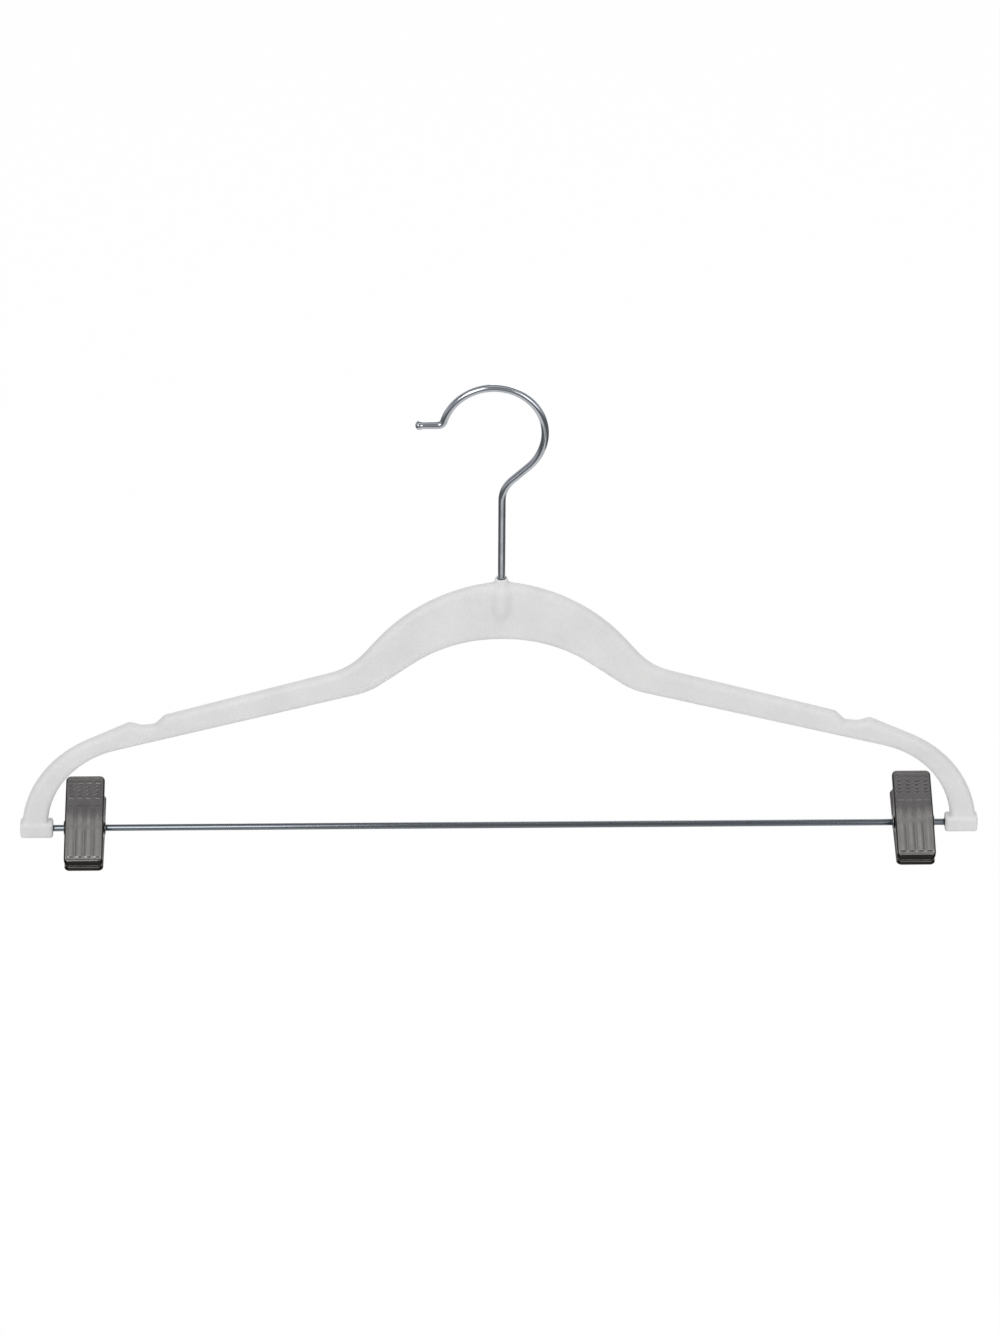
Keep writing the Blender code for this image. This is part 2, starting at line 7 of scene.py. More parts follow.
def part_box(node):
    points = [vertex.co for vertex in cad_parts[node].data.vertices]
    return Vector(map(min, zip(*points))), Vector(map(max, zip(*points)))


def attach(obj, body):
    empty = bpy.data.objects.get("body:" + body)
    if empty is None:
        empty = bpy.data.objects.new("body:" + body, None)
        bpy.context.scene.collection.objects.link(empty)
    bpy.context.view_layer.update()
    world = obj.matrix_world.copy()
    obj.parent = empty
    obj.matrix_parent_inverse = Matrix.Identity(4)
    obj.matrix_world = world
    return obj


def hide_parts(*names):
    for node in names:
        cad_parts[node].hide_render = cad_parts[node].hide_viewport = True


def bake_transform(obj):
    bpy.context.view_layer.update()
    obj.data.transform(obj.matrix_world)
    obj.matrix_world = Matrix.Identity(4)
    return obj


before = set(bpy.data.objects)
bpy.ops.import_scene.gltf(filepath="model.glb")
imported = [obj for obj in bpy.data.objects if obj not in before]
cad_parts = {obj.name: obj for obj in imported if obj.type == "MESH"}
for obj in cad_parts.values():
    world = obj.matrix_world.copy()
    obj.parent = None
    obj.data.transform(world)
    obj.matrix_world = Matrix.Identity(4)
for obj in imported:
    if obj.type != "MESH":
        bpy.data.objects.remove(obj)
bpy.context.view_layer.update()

# Camera: the hanger is seen from the front and well above, from over two metres away, a little
# rolled. The frame is 1000 wide by 1333 high.
look_at = Vector((-0.0004, 0.0, -0.142))
look_down = radians(31.0)
look_side = radians(-1.5)
look_roll = radians(0.4)
camera_distance = 2.3
away = Vector((sin(look_side) * cos(look_down), -cos(look_side) * cos(look_down), sin(look_down)))
lens = bpy.data.cameras.new("camera")
lens.sensor_fit = "HORIZONTAL"
lens.sensor_width = 36.0
lens.lens = 181.15
lens.clip_end = 50.0
camera = bpy.data.objects.new("camera", lens)
bpy.context.scene.collection.objects.link(camera)
camera.location = look_at + away * camera_distance
camera.rotation_mode = "QUATERNION"
camera.rotation_quaternion = (-away).to_track_quat("-Z", "Y") @ Quaternion((0, 0, 1), look_roll)
bpy.context.scene.camera = camera

# Studio: a white floor well below the hanging hanger, a pale room that is lighter at the rear and
# darkens overhead so that bright metal keeps its contrast, and four soft lamps.
bpy.context.scene.view_settings.view_transform = "Standard"
white = (1.0, 1.0, 1.0, 1.0)


def feed(tree, socket, value):
    """Feed a socket with a fixed value or with the output of another node."""
    if isinstance(value, bpy.types.NodeSocket):
        tree.links.new(value, socket)
    else:
        socket.default_value = value


def set_inputs(tree, node, **inputs):
    """Feed the named inputs of a node; _ stands for a space in an input's name."""
    for title, value in inputs.items():
        feed(tree, node.inputs[title.replace("_", " ")], value)


def add_node(tree, kind, **inputs):
    """Add a shader node and set its inputs."""
    node = tree.nodes.new("ShaderNode" + kind)
    set_inputs(tree, node, **inputs)
    return node


def reckoned(tree, operation, first, second):
    """Two values added or multiplied; each is a fixed value or an output."""
    step = tree.nodes.new("ShaderNodeMath")
    step.operation = operation
    feed(tree, step.inputs[0], first)
    feed(tree, step.inputs[1], second)
    return step.outputs[0]


def mixed_shader(tree, share, first, second):
    """Two shaders mixed; the share is that of the second."""
    mix = add_node(tree, "MixShader", Fac=share)
    tree.links.new(first, mix.inputs[1])
    tree.links.new(second, mix.inputs[2])
    return mix.outputs[0]


def colour_ramp(tree, factor, *stops):
    """A colour that follows a factor; each stop is a position and a colour."""
    ramp = add_node(tree, "ValToRGB", Fac=factor)
    elements = ramp.color_ramp.elements
    for element, (position, colour) in zip(elements, (stops[0], stops[-1])):
        element.position = position
        element.color = (*colour, 1.0)
    for position, colour in stops[1:-1]:
        elements.new(position).color = (*colour, 1.0)
    return ramp.outputs["Color"]


def new_material(name, **inputs):
    """A material, its node tree, and its Principled shader with some inputs set."""
    material = bpy.data.materials.new(name)
    material.use_nodes = True
    tree = material.node_tree
    shader = tree.nodes["Principled BSDF"]
    set_inputs(tree, shader, **inputs)
    return material, tree, shader


floor_drop = 0.95
floor_middle = 2.3
floor_size = (1.9, 8.0, 1.0)
floor_white = 0.98
bpy.ops.object.select_all(action="DESELECT")
bpy.ops.mesh.primitive_plane_add(size=1.0, location=(0, floor_middle, -floor_drop))
bpy.ops.transform.resize(value=floor_size)
bpy.ops.object.transform_apply(location=True, rotation=True, scale=True)
floor = bpy.context.object
floor.name = "floor"
paper, tree, shader = new_material("white_paper", Base_Color=(0.9, 0.9, 0.9, 1.0), Roughness=0.9)
glow = add_node(tree, "Emission", Color=white)
ray = add_node(tree, "LightPath").outputs
mirrored = reckoned(tree, "ADD", ray["Is Glossy Ray"], ray["Is Transmission Ray"])
seen = reckoned(tree, "ADD", ray["Is Camera Ray"], mirrored)
share = reckoned(tree, "MULTIPLY", seen, floor_white)
lit = mixed_shader(tree, share, shader.outputs[0], glow.outputs[0])
set_inputs(tree, tree.nodes["Material Output"], Surface=lit)
floor.data.materials.append(paper)

# the room lights the object evenly, looks white to the camera, and is toned where metal mirrors it
room_light = 0.60
room_tones = (
    (0.0, (0.14, 0.14, 0.146)),
    (0.42, (0.18, 0.18, 0.1872)),
    (0.52, (0.60, 0.60, 0.624)),
    (0.62, (0.50, 0.50, 0.52)),
    (0.80, (0.28, 0.28, 0.2912)),
    (1.0, (0.26, 0.26, 0.27)),
)
room = bpy.data.worlds.new("room")
room.use_nodes = True
bpy.context.scene.world = room
tree = room.node_tree
soft = tree.nodes["Background"]
set_inputs(tree, soft, Color=white, Strength=room_light)
facing = add_node(tree, "TexCoord").outputs["Generated"]
direction = add_node(tree, "SeparateXYZ", Vector=facing).outputs
rise = add_node(tree, "MapRange", Value=direction["Z"], From_Min=-1.0, From_Max=1.0)
rear = add_node(
    tree, "MapRange", Value=direction["Y"], From_Min=0.35, From_Max=0.85, To_Min=1.0, To_Max=2.2
)
tones = colour_ramp(tree, rise.outputs["Result"], *room_tones)
walls = add_node(tree, "Background", Color=tones, Strength=rear.outputs["Result"])
sky = add_node(tree, "Background", Color=white)
ray = add_node(tree, "LightPath").outputs
mirrored = reckoned(tree, "ADD", ray["Is Glossy Ray"], ray["Is Transmission Ray"])
around = mixed_shader(tree, mirrored, soft.outputs[0], walls.outputs[0])
around = mixed_shader(tree, ray["Is Camera Ray"], around, sky.outputs[0])
set_inputs(tree, tree.nodes["World Output"], Surface=around)

for name, place, wide, deep, watts in (
    ("key_lamp", (-1.1, -1.9, 1.3), 1.4, 1.4, 28.0),
    ("fill_lamp", (1.6, -1.7, 0.7), 1.4, 1.4, 13.0),
    ("top_lamp", (0.0, -0.36, 1.45), 3.4, 0.60, 5.0),
    ("back_lamp", (0.6, 2.0, 0.8), 1.4, 1.4, 12.0),
):
    lamp = bpy.data.lights.new(name, "AREA")
    lamp.shape = "RECTANGLE"
    lamp.size = wide
    lamp.size_y = deep
    lamp.energy = watts
    stand = bpy.data.objects.new(name, lamp)
    bpy.context.scene.collection.objects.link(stand)
    stand.location = place
    stand.rotation_euler = (look_at - Vector(place)).to_track_quat("-Z", "Y").to_euler()

# Body: one injection moulding of ABS with crown, neck boss, shoulder notches and tip blocks in one
# piece. It is flocked all over with short white fibres, so every edge reads soft and matte.


def take_alone(piece):
    """Select one object and nothing else."""
    bpy.ops.object.select_all(action="DESELECT")
    piece.select_set(True)
    bpy.context.view_layer.objects.active = piece


def apply_modifier(piece, kind, **settings):
    """Put a modifier on a piece and apply it."""
    take_alone(piece)
    step = piece.modifiers.new(kind.lower(), kind)
    for key, value in settings.items():
        setattr(step, key, value)
    bpy.ops.object.modifier_apply(modifier=step.name)


def fit_out(piece, name, body, slot, finish, *replaced):
    """Name a finished piece, give it its finish and fix it to what it moves with."""
    piece.name = name
    piece.data.name = name
    piece.data.materials.clear()
    piece.data.materials.append(finish)
    if isinstance(body, str):
        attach(piece, body)
    if replaced:
        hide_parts(*replaced)


def mixed_colour(tree, factor, first, second, blend="MIX"):
    """Two colours mixed; the factor and both colours are fixed values or outputs."""
    mix = tree.nodes.new("ShaderNodeMix")
    mix.data_type = "RGBA"
    mix.blend_type = blend
    set_inputs(tree, mix, Factor=factor, A=first, B=second)
    return mix.outputs["Result"]


def eased(share):
    """A smooth step from 0 to 1."""
    share = min(1.0, max(0.0, share))
    return share * share * (3 - 2 * share)


flock_grain = 0.00052
seam = 0.00001
neck_top = -0.0950
neck_length = 0.0235
collar = 0.0020
boss_half = 0.0110
boss_margin = 0.0050
boss_fade = 0.0030
body_rounds = 8
boss_rounds = 36
body = bpy.data.objects.new("flocked_body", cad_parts["hanger_body"].data.copy())
bpy.context.scene.collection.objects.link(body)
take_alone(body)
bpy.ops.object.mode_set(mode="EDIT")
bpy.ops.mesh.select_all(action="SELECT")
bpy.ops.mesh.remove_doubles(threshold=seam)
bpy.ops.object.mode_set(mode="OBJECT")
apply_modifier(body, "REMESH", mode="VOXEL", voxel_size=flock_grain)
apply_modifier(body, "SMOOTH", factor=0.5, iterations=body_rounds)
# the neck boss flows into the faces without a crease; the pocket inside it stays as it is
boss = body.vertex_groups.new(name="boss")
boss_foot = neck_top - neck_length - boss_margin
for vert in body.data.vertices:
    x, y, z = vert.co
    if abs(x) < boss_half and boss_foot < z < neck_top:
        faces_out = 2 * vert.normal.y * (1 if y > 0 else -1)
        level = min(neck_top - collar - z, z - boss_foot)
        weight = eased(faces_out) * eased(level / boss_fade)
        weight *= eased((boss_half - abs(x)) / boss_fade)
        boss.add([vert.index], weight, "REPLACE")
apply_modifier(body, "SMOOTH", factor=0.5, iterations=boss_rounds, vertex_group="boss")
body.vertex_groups.clear()
take_alone(body)
bpy.ops.object.shade_smooth()

# flock: a matte nap that lies lighter and darker in soft patches, over fine fibres and tufts
flock, tree, skin = new_material(
    "white_flock", Roughness=1.0, Specular_IOR_Level=0.15, Sheen_Weight=0.35, Sheen_Roughness=0.45
)
place = add_node(tree, "TexCoord").outputs["Object"]
nap = add_node(tree, "TexNoise", Vector=place, Scale=55.0, Detail=5.0, Roughness=0.6)
fibres = add_node(tree, "TexNoise", Vector=place, Scale=2600.0, Detail=3.0, Roughness=0.7)
tufts = add_node(tree, "TexNoise", Vector=place, Scale=700.0, Detail=4.0)
nap_tone = colour_ramp(
    tree, nap.outputs["Fac"], (0.30, (0.625, 0.625, 0.625)), (0.72, (0.675, 0.675, 0.672))
)
fibre_tone = add_node(
    tree,
    "MapRange",
    Value=fibres.outputs["Fac"],
    From_Min=0.35,
    From_Max=0.65,
    To_Min=0.90,
    To_Max=1.05,
)
pile = reckoned(tree, "ADD", fibres.outputs["Fac"], tufts.outputs["Fac"])
raised = add_node(tree, "Bump", Height=pile, Strength=0.5, Distance=0.00015)
tone = mixed_colour(tree, 1.0, nap_tone, fibre_tone.outputs["Result"], "MULTIPLY")
set_inputs(tree, skin, Base_Color=tone, Normal=raised.outputs["Normal"])
fit_out(body, "flocked_body", "hanger", "flocked_white", flock, "hanger_body")

# Hook: 3.4 mm round steel wire, chrome plated, bent to a loop with a short stub at its free end.
# Its foot is upset into a head that turns in a pocket of the body's neck.
wire = 0.0034
loop_radius = 0.0230
loop_centre = Vector((-0.0040, 0.0, wire / 2 - loop_radius))
shank_lean = radians(47.0)
shank_bend = 0.0140
stub_bend = 0.0028
stub_drop = 0.0168
stub_reach = 0.0388
stub_swell = 1.25
head_radius = 0.0026
head_height = 0.0030
head_depth = 0.0092
head_chamfer = 0.0004
head_foot = head_radius * 0.85
head_brow = head_radius * 0.9
wire_sides = 32
bend_steps = 14
loop_steps = 72
stub_steps = 16
swell_rings = 12
swell_rise = 1.6
swell_round = 0.55
smallest_round = 0.02
merge = 0.000001


def pull(offset, factor, centre):
    """Extrude the selected ring by an offset and then scale it about its new centre."""
    bpy.ops.mesh.extrude_region_move(TRANSFORM_OT_translate={"value": offset})
    if factor != 1.0:
        bpy.ops.transform.resize(value=(factor, factor, factor), center_override=centre)


def close_and_smooth(piece, crease):
    """Close the open ends of a drawn piece, turn its faces outwards and shade it."""
    bpy.ops.mesh.select_all(action="SELECT")
    bpy.ops.mesh.remove_doubles(threshold=merge)
    bpy.ops.mesh.fill_holes(sides=0)
    bpy.ops.mesh.select_all(action="SELECT")
    bpy.ops.mesh.normals_make_consistent(inside=False)
    bpy.ops.object.mode_set(mode="OBJECT")
    take_alone(piece)
    bpy.ops.object.transform_apply(location=True, rotation=True, scale=True)
    bpy.ops.object.shade_smooth_by_angle(angle=crease)


head_top = neck_top - head_depth
loop_touch = loop_centre + loop_radius * Vector((cos(shank_lean), 0, -sin(shank_lean)))
bend_corner = loop_touch.z - loop_touch.x / tan(shank_lean)
bend_start = bend_corner - shank_bend * tan(shank_lean / 2)
slant = Vector((sin(shank_lean), 0, cos(shank_lean)))
slant_length = loop_touch.x / sin(shank_lean) - shank_bend * tan(shank_lean / 2)
stub_rise = -stub_drop + stub_bend
loop_end = pi - asin((stub_rise - loop_centre.z) / (loop_radius + stub_bend))
stub_centre = Vector((loop_centre.x + (loop_radius + stub_bend) * cos(loop_end), 0, stub_rise))

bpy.ops.object.select_all(action="DESELECT")
bpy.ops.mesh.primitive_circle_add(
    vertices=wire_sides, radius=head_foot, location=(0, 0, head_top - head_height)
)
hook = bpy.context.object
bpy.ops.object.mode_set(mode="EDIT")
bpy.ops.mesh.select_all(action="SELECT")
height = head_top - head_height
radius = head_foot
for rise_by, new_radius in (
    (head_chamfer, head_radius),
    (head_height - 2 * head_chamfer, head_radius),
    (head_chamfer, head_brow),
    (0.0, wire / 2),
    (neck_top - head_top, wire / 2),
    (bend_start - neck_top, wire / 2),
):
    height += rise_by
    pull((0, 0, rise_by), new_radius / radius, (0, 0, height))
    radius = new_radius
bpy.ops.mesh.spin(
    steps=bend_steps, angle=-shank_lean, center=(shank_bend, 0, bend_start), axis=(0, 1, 0)
)
pull(slant * slant_length, 1.0, loop_touch)
bpy.ops.mesh.spin(
    steps=loop_steps, angle=shank_lean + loop_end, center=loop_centre, axis=(0, 1, 0)
)
bpy.ops.mesh.spin(
    steps=stub_steps, angle=pi / 2 - loop_end, center=stub_centre, axis=(0, 1, 0)
)
tip = stub_centre.x
swell_start = -stub_reach + wire
pull((swell_start - tip, 0, 0), 1.0, (swell_start, 0, -stub_drop))
tip = swell_start
radius = 1.0
for ring in range(1, swell_rings + 1):
    share_out = ring / swell_rings
    bulge = 1.0 + (stub_swell - 1.0) * sin(min(share_out * swell_rise, 1.0) * pi / 2)
    round_in = max(0.0, (share_out - swell_round) / (1.0 - swell_round))
    rounding = sqrt(max(smallest_round, 1.0 - round_in**2))
    new_radius = bulge * rounding
    place_x = swell_start - wire * share_out
    pull((place_x - tip, 0, 0), new_radius / radius, (place_x, 0, -stub_drop))
    tip = place_x
    radius = new_radius
close_and_smooth(hook, radians(40.0))


def new_group(name, inputs, outputs):
    """A shader node group with named float, vector or colour sockets."""
    tree = bpy.data.node_groups.new(name, "ShaderNodeTree")
    for title, kind in inputs:
        tree.interface.new_socket(name=title, in_out="INPUT", socket_type=kind)
    for title, kind in outputs:
        tree.interface.new_socket(name=title, in_out="OUTPUT", socket_type=kind)
    return tree, tree.nodes.new("NodeGroupInput"), tree.nodes.new("NodeGroupOutput")


# plating marks: hairlines drawn out along a piece, and the dull smears that handling leaves
plating_marks, given, made = new_group(
    "plating_marks",
    (
        ("Place", "NodeSocketVector"),
        ("Hairline Scale", "NodeSocketFloat"),
        ("Smear Scale", "NodeSocketFloat"),
    ),
    (("Hairlines", "NodeSocketFloat"), ("Smears", "NodeSocketFloat")),
)
tree = plating_marks
place = given.outputs["Place"]
hairline_scale = given.outputs["Hairline Scale"]
smear_scale = given.outputs["Smear Scale"]
lines = add_node(tree, "TexNoise", Vector=place, Scale=hairline_scale, Detail=4.0, Roughness=0.65)
smears = add_node(tree, "TexNoise", Vector=place, Scale=smear_scale, Detail=6.0, Roughness=0.55)
spread = add_node(tree, "MapRange", Value=smears.outputs["Fac"], From_Min=0.35, From_Max=0.70)
set_inputs(tree, made, Hairlines=lines.outputs["Fac"], Smears=spread.outputs["Result"])


def plated(name, dark, light, rough, hairline, smear, stretch=(1, 1, 1), turn=0.0):
    """A plated metal: its colour and gloss vary with smears, and hairlines run along the
    stretched axis. The hairline and smear scales set how fine the two are."""
    metal, tree, shader = new_material(name, Metallic=1.0)
    place = add_node(tree, "TexCoord").outputs["Object"]
    mapping = add_node(tree, "Mapping", Vector=place, Rotation=(turn, 0, 0), Scale=stretch)
    marks = tree.nodes.new("ShaderNodeGroup")
    marks.node_tree = plating_marks
    set_inputs(
        tree, marks, Place=mapping.outputs["Vector"], Hairline_Scale=hairline, Smear_Scale=smear
    )
    smeared = marks.outputs["Smears"]
    tone = mixed_colour(tree, smeared, (*light, 1.0), (*dark, 1.0))
    gloss = add_node(tree, "MapRange", Value=smeared, To_Min=rough[0], To_Max=rough[1])
    relief = add_node(
        tree, "Bump", Height=marks.outputs["Hairlines"], Strength=0.6, Distance=0.00001
    )
    set_inputs(
        tree,
        shader,
        Base_Color=tone,
        Roughness=gloss.outputs["Result"],
        Normal=relief.outputs["Normal"],
    )
    return metal


chrome = plated(
    "hook_chrome", (0.375, 0.398, 0.425), (0.48, 0.505, 0.535), (0.10, 0.20), 1500.0, 90.0
)
fit_out(hook, "chrome_hook", "hook", "hook_chrome", chrome, "swivel_hook")

# Trouser bar: a 3 mm straight steel rod, dark plated, pressed into blind sockets in the tip blocks.
# Its ends are chamfered and never seen.
rod = 0.0030
rod_drop = 0.2281
rod_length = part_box("trouser_bar")[1].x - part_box("trouser_bar")[0].x
rod_chamfer = 0.0003
bpy.ops.object.select_all(action="DESELECT")
bpy.ops.mesh.primitive_cylinder_add(
    vertices=40,
    radius=rod / 2,
    depth=rod_length,
    location=(0, 0, -rod_drop),
    rotation=(0, pi / 2, 0),
)
bar = bpy.context.object
bpy.ops.object.mode_set(mode="EDIT")
bpy.ops.mesh.select_all(action="DESELECT")
bpy.ops.mesh.edges_select_sharp(sharpness=radians(60.0))
bpy.ops.mesh.bevel(offset=rod_chamfer, segments=2)
close_and_smooth(bar, radians(35.0))
dark_steel = plated(
    "bar_steel",
    (0.12, 0.14, 0.16),
    (0.20, 0.22, 0.24),
    (0.14, 0.28),
    2600.0,
    60.0,
    stretch=(0.04, 1, 1),
)
fit_out(bar, "plated_bar", "hanger", "plated_steel", dark_steel, "trouser_bar")

# Pivot tubes: hollow steel rivets, one through the ears of each clip, rolled over outside them at
# both ends. The clip turns on the tube, and the tube slides on the bar.
clip_reach = 0.1930
leaf_width = 0.0180
gap = 0.0003
tube_bore = rod / 2 + 0.00035
tube_outer = tube_bore + 0.00045
flare = 0.0033
flare_thickness = 0.0004
ear_side = leaf_width / 2 + gap
tube_end = ear_side + flare_thickness
tube_sides = 36
clip_swing = radians(-69.0)
left_clip = Vector((-clip_reach, 0, -rod_drop))


def second_of(piece, name):
    """A copy of a left clip's piece for the right clip, with its own mesh."""
    twin = bpy.data.objects.new(name, piece.data.copy())
    bpy.context.scene.collection.objects.link(twin)
    twin.data.transform(Matrix.Translation((2 * clip_reach, 0, 0)))
    return twin


# one end of the tube from the bore out over the rolled rim: place along the tube, and radius
half_profile = [
    (tube_end - 0.00012, tube_bore + 0.00012),
    (tube_end - 0.00004, tube_bore + 0.00022),
    (tube_end, tube_bore + 0.0004),
    (tube_end, flare - 0.00022),
    (tube_end - 0.00006, flare - 0.00006),
    (tube_end - 0.0002, flare),
    (tube_end - 0.00032, flare - 0.00006),
    (ear_side, flare - 0.0002),
    (ear_side, tube_outer + 0.0001),
    (ear_side - 0.0001, tube_outer),
]
profile = [(-x, r) for x, r in half_profile] + [(x, r) for x, r in reversed(half_profile)]
profile += [(tube_end - 0.0004, tube_bore), (-tube_end + 0.0004, tube_bore), profile[0]]
bpy.ops.object.select_all(action="DESELECT")
start_x, radius = profile[0]
bpy.ops.mesh.primitive_circle_add(
    vertices=tube_sides,
    radius=radius,
    location=left_clip + Vector((start_x, 0, 0)),
    rotation=(0, pi / 2, 0),
)
tube = bpy.context.object
bpy.ops.object.mode_set(mode="EDIT")
bpy.ops.mesh.select_all(action="SELECT")
for place_x, new_radius in profile[1:]:
    pull((place_x - start_x, 0, 0), new_radius / radius, left_clip + Vector((place_x, 0, 0)))
    start_x, radius = place_x, new_radius
close_and_smooth(tube, radians(50.0))
bright_steel = plated(
    "rivet_steel", (0.22, 0.23, 0.24), (0.42, 0.43, 0.44), (0.22, 0.40), 2200.0, 260.0
)
right_tube = second_of(tube, "right_rivet")
fit_out(tube, "left_rivet", "left_slider", "plated_steel", bright_steel, "left_pivot_tube")
fit_out(right_tube, "right_rivet", "right_slider", "plated_steel", bright_steel, "right_pivot_tube")

# Clip leaves: each a 0.7 mm steel pressing, folded down all round, bent a little over the pivot and
# embossed with a ladder of short ribs by the finger end and four long beads. Side walls dip to
# pierced ears. The rear leaf is stepped in so that its ears nest inside the front one's.
tab_length = 0.0246
jaw_length = 0.0220
sheet = 0.0007
leaf_lean = radians(3.0)
leaf_bend = radians(5.0)
bend_reach = 0.0060
standoff = 0.0069
corner = 0.0024
fold = 0.0008
step_in = sheet + gap
step_run = 0.0012
tab_wall = 0.0018
jaw_wall = 0.0030
ear_half = 0.0080
ear_reach = 0.0036
lip_setback = 0.0006
rim = 0.0026
ladder_length = 0.0105
ladder_rows = 5
columns = 4
rung = Vector((0.0013, 0.00055))
rung_height = 0.00038
rung_fade = 0.0003
plain_band = 0.0033
bead_half = Vector((0.00190, 0.0140))
bead_height = 0.00040
bead_fade = 0.0007
panel_sink = 0.00022
panel_rim = 0.0003
panel_fade = 0.0006
lip_way = -0.6
ear_curve = 1.5
cells_across = 100
cells_along = 260
slope_step = 0.0001
fold_rings = 4
step_rings = 6
wall_rings = (0.12, 0.5, 0.92, 1.0)
edge_round = 0.0001
face_slack = 0.00001
# painted shade strengths: on the side walls, on the steep sides of the relief, and the share of it
# taken off at the cut edge
wall_shade = 0.66
relief_shade = 0.75
cut_bright = 0.5

# u runs across a leaf from its middle, and v along it from the pivot, up to the finger end


def fall(v):
    """How far the leaf's face falls towards the other leaf, from its bend over the pivot."""
    if v > bend_reach:
        return 0.0
    if v < -bend_reach:
        return -v * tan(leaf_bend)
    return tan(leaf_bend) * (bend_reach - v) ** 2 / (4 * bend_reach)


def past_corner(u, v):
    """How far a place lies past the start of the outline's corners, across and along."""
    over_u = abs(u) - (leaf_width / 2 - corner)
    over_v = v - (tab_length - corner) if v > 0 else -v - (jaw_length - corner)
    return max(over_u, 0.0), max(over_v, 0.0)


def outward(u, v):
    """The direction out of the leaf's rounded outline, nearest to a place on it."""
    over_u, over_v = past_corner(u, v)
    return Vector((over_u * (1 if u > 0 else -1), over_v * (1 if v > 0 else -1))).normalized()


def inside(u, v):
    """How far a place near the edge lies inside the leaf's rounded outline."""
    return corner - hypot(*past_corner(u, v))


def wall_end(v, way_v):
    """How deep the folded wall reaches, from the plane of the tab."""
    depth = tab_wall + (jaw_wall - tab_wall) * min(1.0, (tab_length - v) / tab_length) + fall(v)
    if abs(v) < ear_half:
        depth += (standoff + ear_reach - depth) * (1 - (v / ear_half) ** 2) ** ear_curve
    if way_v < lip_way:
        depth = standoff - (lip_setback + jaw_length * sin(leaf_lean)) / cos(leaf_lean)
    return depth


def crest(distance, half, height):
    """The height of a pressed rib at a distance from its spine."""
    return height * (1 - (distance / half) ** 2) if abs(distance) < half else 0.0


def ribs(u, v):
    """How high the ladder's rungs and the long beads stand at a place."""
    pitch = (leaf_width - 2 * fold) / columns
    column = min(columns - 1, max(0, int((u + leaf_width / 2 - fold) / pitch)))
    off_u = u - ((column + 0.5) * pitch - leaf_width / 2 + fold)
    ladder_top = tab_length - rim
    ladder_end = ladder_top - ladder_length
    if v > ladder_end:
        row_pitch = ladder_length / ladder_rows
        row = min(ladder_rows - 1, max(0, int((ladder_top - v) / row_pitch)))
        off_v = v - (ladder_top - (row + 0.5) * row_pitch)
        return crest(off_v, rung.y, rung_height) * eased((rung.x - abs(off_u)) / rung_fade)
    bead_middle = ladder_end - plain_band - bead_half.y
    run_out = eased((bead_half.y - abs(v - bead_middle)) / bead_fade)
    return crest(off_u, bead_half.x, bead_height) * run_out


def sunk(u, v):
    """How deep the face lies inside its plain rim."""
    margin = min(leaf_width / 2 - abs(u), tab_length - v, jaw_length + v) - fold
    return panel_sink * eased((margin - panel_rim) / panel_fade)


def painted_relief_shade(u, v):
    """How much painted shade darkens the steep sides of the relief."""
    above, below = v + slope_step, v - slope_step
    slope = hypot(
        ribs(u, above) - ribs(u, below) + sunk(u, below) - sunk(u, above),
        (ribs(u + slope_step, v) - ribs(u - slope_step, v)) / 3,
    ) / (2 * slope_step)
    return relief_shade * eased(2 * slope)


